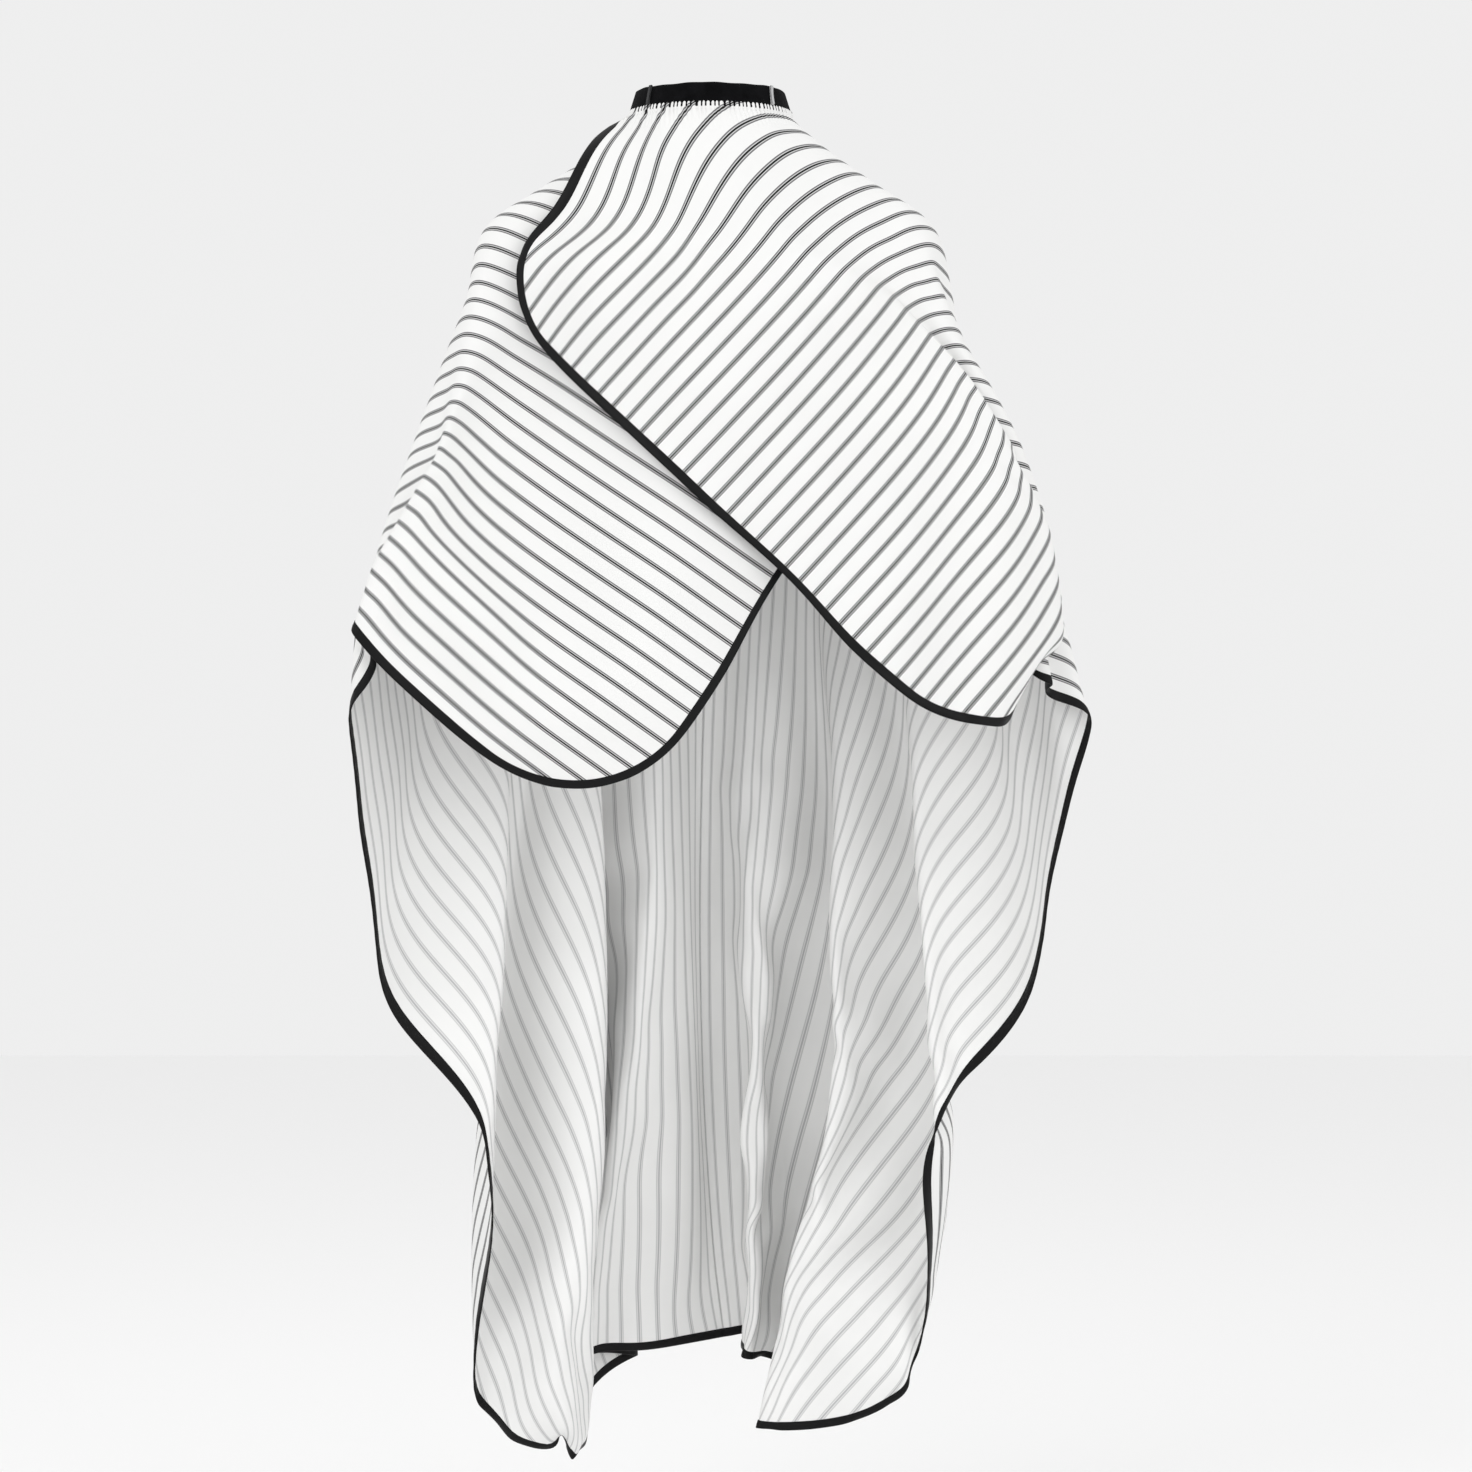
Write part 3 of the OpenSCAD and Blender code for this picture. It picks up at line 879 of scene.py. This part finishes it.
def stripedCloth(name, ground, dark, grey):
    # yarn-dyed polyester microfibre, plain weave: dull and smooth, with its lines dyed in the yarn
    made, tree, skin = newMaterial(name, Roughness=0.8, **{"Specular IOR Level": 0.3})
    place = addNode(tree, "UVMap", uv_map="cut").outputs[0]
    x = addNode(tree, "SeparateXYZ", {0: place}).outputs[0]
    away = addNode(tree, "Math", {0: x, 1: stripe["repeat"] / 2 * mm}, operation="PINGPONG").outputs[0]
    away = addNode(tree, "Math", {0: away, 1: 1000.0}, operation="MULTIPLY").outputs[0]
    slub = addNode(tree, "TexNoise", {"Vector": place, "Scale": 9.0, "Detail": 3.0}).outputs[0]
    base = blendColour(tree, addNode(tree, "MapRange", {"Value": slub, "From Min": 0.3, "From Max": 0.7,
                                                        "To Min": 0.0, "To Max": 0.35}).outputs[0],
                       linear(ground), linear("#e3e3e2"))
    greyLine = band1d(tree, away, stripe["greyFrom"], stripe["greyTo"], stripe["soft"])
    darkLine = band1d(tree, away, -1.0, stripe["darkHalf"], stripe["soft"])
    tint = band1d(tree, away, -1.0, stripe["greyTo"], stripe["soft"])
    tint = addNode(tree, "Math", {0: tint, 1: 0.22}, operation="MULTIPLY").outputs[0]
    base = blendColour(tree, tint, base, linear(grey))
    base = blendColour(tree, greyLine, base, linear(grey))
    base = blendColour(tree, darkLine, base, linear(dark))
    tree.links.new(base, skin.inputs["Base Color"])
    # threads, drawn every 0.6 mm so that a close view shows them
    weave = []
    for direction in ("X", "Y"):
        wave = addNode(tree, "TexWave", {"Vector": place, "Scale": waveScale(0.6), "Distortion": 0.6,
                                         "Detail": 1.0, "Detail Scale": 2.0}, bands_direction=direction)
        weave.append(wave.outputs["Fac"])
    threads = addNode(tree, "Math", {0: weave[0], 1: weave[1]}, operation="MULTIPLY").outputs[0]
    crease = addNode(tree, "TexNoise", {"Vector": place, "Scale": 26.0, "Detail": 2.0}).outputs[0]
    soft = addNode(tree, "Bump", {"Height": crease, "Strength": 0.12, "Distance": 0.004}).outputs[0]
    relief = addNode(tree, "Bump", {"Height": threads, "Strength": 0.25, "Distance": 0.0002,
                                    "Normal": soft}).outputs[0]
    tree.links.new(relief, skin.inputs["Normal"])
    return made


def edgeTapeCloth():
    # polyester bias tape, folded and pressed: black, slightly satin, with stitches near its inner edge
    made, tree, skin = newMaterial("polyesterBiasTape", Roughness=0.5, **{"Specular IOR Level": 0.2})
    place = addNode(tree, "UVMap", uv_map="cut").outputs[0]
    parts = addNode(tree, "SeparateXYZ", {0: place})
    across = addNode(tree, "Math", {0: parts.outputs[1]}, operation="ABSOLUTE").outputs[0]
    across = addNode(tree, "Math", {0: across, 1: 1000.0}, operation="MULTIPLY").outputs[0]
    row = band1d(tree, across, 6.75, 7.25, 0.1)
    dash = addNode(tree, "Math", {0: parts.outputs[0], 1: 2.6 * mm}, operation="FLOORED_MODULO").outputs[0]
    dash = band1d(tree, dash, 0.25 * mm, 2.2 * mm, 0.15 * mm)
    stitch = addNode(tree, "Math", {0: row, 1: dash}, operation="MULTIPLY").outputs[0]
    base = blendColour(tree, stitch, linear("#030304"), linear("#161618"))
    tree.links.new(base, skin.inputs["Base Color"])
    rib = addNode(tree, "TexWave", {"Vector": place, "Scale": waveScale(0.9), "Distortion": 0.8},
                  bands_direction="DIAGONAL").outputs["Fac"]
    first = addNode(tree, "Bump", {"Height": rib, "Strength": 0.3, "Distance": 0.0002}).outputs[0]
    relief = addNode(tree, "Bump", {"Height": stitch, "Strength": 0.8, "Distance": 0.0004,
                                    "Normal": first}).outputs[0]
    tree.links.new(relief, skin.inputs["Normal"])
    return made


def nappedCloth(name, dark, light, scale, roughness, sheen, relief):
    # brushed or looped cloth: short fibres that scatter the light, so its tone is uneven and never glossy
    finish = {"Sheen Weight": sheen, "Sheen Roughness": 0.6, "Specular IOR Level": 0.08}
    made, tree, skin = newMaterial(name, Roughness=roughness, **finish)
    place = addNode(tree, "TexCoord").outputs["Object"]
    fibre = addNode(tree, "TexNoise", {"Vector": place, "Scale": scale, "Detail": 5.0,
                                       "Roughness": 0.65}).outputs[0]
    patch = addNode(tree, "TexNoise", {"Vector": place, "Scale": scale / 12, "Detail": 2.0}).outputs[0]
    tone = addNode(tree, "Math", {0: fibre, 1: patch}, operation="MULTIPLY").outputs[0]
    amount = addNode(tree, "MapRange", {"Value": tone, "From Min": 0.12, "From Max": 0.42}).outputs[0]
    base = blendColour(tree, amount, linear(dark), linear(light))
    tree.links.new(base, skin.inputs["Base Color"])
    lift = addNode(tree, "Bump", {"Height": fibre, "Strength": 0.7, "Distance": relief * mm}).outputs[0]
    tree.links.new(lift, skin.inputs["Normal"])
    return made


def ribbonCloth(name, dark, light):
    # narrow woven satin ribbon: fine ribs across and a soft gloss
    made, tree, skin = newMaterial(name, Roughness=0.42, **{"Specular IOR Level": 0.3})
    place = addNode(tree, "TexCoord").outputs["Object"]
    ribs = addNode(tree, "TexWave", {"Vector": place, "Scale": waveScale(0.8), "Distortion": 0.5},
                   bands_direction="Z").outputs["Fac"]
    amount = addNode(tree, "MapRange", {"Value": ribs, "To Max": 0.6}).outputs[0]
    tree.links.new(blendColour(tree, amount, linear(dark), linear(light)), skin.inputs["Base Color"])
    lift = addNode(tree, "Bump", {"Height": ribs, "Strength": 0.4, "Distance": 0.00015}).outputs[0]
    tree.links.new(lift, skin.inputs["Normal"])
    return made


clothFace = stripedCloth("yarnDyedMicrofibre", stripe["ground"], stripe["dark"], stripe["grey"])
clothWrongSide = stripedCloth("microfibreWrongSide", stripe["backGround"], stripe["backDark"],
                              stripe["backGrey"])
tapeCloth = edgeTapeCloth()
bandCloth = nappedCloth("brushedPolyesterKnit", "#020203", "#0e0e10", 1400, 0.95, 0.01, 0.35)
liningCloth = nappedCloth("brushedTricotLining", "#4a4a4c", "#6e6e70", 1100, 0.9, 0.4, 0.2)
interlining = nappedCloth("bondedFibreInterlining", "#c9c8c4", "#e6e5e1", 700, 0.85, 0.1, 0.15)
loopCloth = nappedCloth("nylonLoopPile", "#040405", "#1a1a1c", 900, 0.95, 0.1, 0.6)
hookCloth = nappedCloth("nylonHookTape", "#080809", "#2c2c30", 600, 0.6, 0.1, 0.8)
darkRibbon = ribbonCloth("satinRibbonGrey", "#202022", "#3a3a3c")
lightRibbon = ribbonCloth("satinRibbonPale", "#a9a9aa", "#cfcfcf")


def dress(piece, *materials):
    piece.data.materials.clear()
    for m in materials:
        piece.data.materials.append(m)


for half in (capeLeft, capeRight):
    half.material_slots[0].material = clothFace
    half.material_slots[1].material = clothWrongSide
for piece in (gatherUnder, gatherOver):
    dress(piece, clothFace)
for piece in (edgeTapeLeft, edgeTapeRight):
    dress(piece, tapeCloth)
for piece in (neckbandUnder, neckbandOver):
    dress(piece, bandCloth)
dress(ribbonLeft, darkRibbon)
dress(ribbonRight, lightRibbon)
for node, finish in (("neck_lining", liningCloth), ("band_core", interlining), ("band_end_core", interlining),
                     ("loop_tape", loopCloth), ("hook_tape", hookCloth)):
    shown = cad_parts[node]
    for i in range(len(shown.material_slots)):
        shown.material_slots[i].material = finish
print("materials given")

# What each piece rides on
for piece in (capeLeft, edgeTapeLeft, gatherUnder, neckbandUnder):
    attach(piece, "cape")
for piece in (capeRight, edgeTapeRight, gatherOver, neckbandOver):
    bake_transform(piece)
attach(ribbonLeft, "hanger_loop_left")
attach(ribbonRight, "hanger_loop_right")

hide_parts("front_panel", "left_drape", "under_flap")
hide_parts("right_drape", "over_flap")
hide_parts("front_hem_tape", "left_edge_tape", "under_flap_tape")
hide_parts("right_edge_tape", "over_flap_tape")
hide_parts("neckband")
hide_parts("neckband_end")
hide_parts("neck_gather")
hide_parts("neck_gather_end")
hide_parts("hanger_loop_left")
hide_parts("hanger_loop_right")

# Floor and lights
studio = {
    "floor": -1.42,
    "floorColour": "#fafafa",
    "world": 0.86,
    # place, aim, size and power
    "key": ((-2.2, -3.2, 1.4), (0, 0, -0.55), 2.4, 38),
    "fill": ((2.8, -2.6, 0.2), (0, 0, -0.7), 2.6, 24),
    "top": ((0, 0.6, 2.6), (0, 0, -0.4), 2.2, 12),
}


def areaLight(name, place, aim, size, power):
    data = bpy.data.lights.new(name, "AREA")
    data.energy, data.size = power, size
    lamp = bpy.data.objects.new(name, data)
    scene.collection.objects.link(lamp)
    lamp.location = place
    lamp.rotation_euler = (Vector(aim) - Vector(place)).to_track_quat("-Z", "Y").to_euler()


bpy.ops.object.select_all(action="DESELECT")
bpy.ops.mesh.primitive_plane_add(size=14, location=(0, 0, studio["floor"]))
floor = bpy.context.object
floor.name = "floor"
paint, tree, skin = newMaterial("paleFloor", Roughness=0.9)
skin.inputs["Base Color"].default_value = linear(studio["floorColour"])
floor.data.materials.append(paint)
for lamp in ("key", "fill", "top"):
    areaLight(lamp, *studio[lamp])
world = bpy.data.worlds.new("studio")
world.use_nodes = True
world.node_tree.nodes["Background"].inputs[0].default_value = linear("#ffffff")
world.node_tree.nodes["Background"].inputs[1].default_value = studio["world"]
scene.world = world
scene.view_settings.view_transform = "Standard"  # plain whites and blacks
print("studio set")
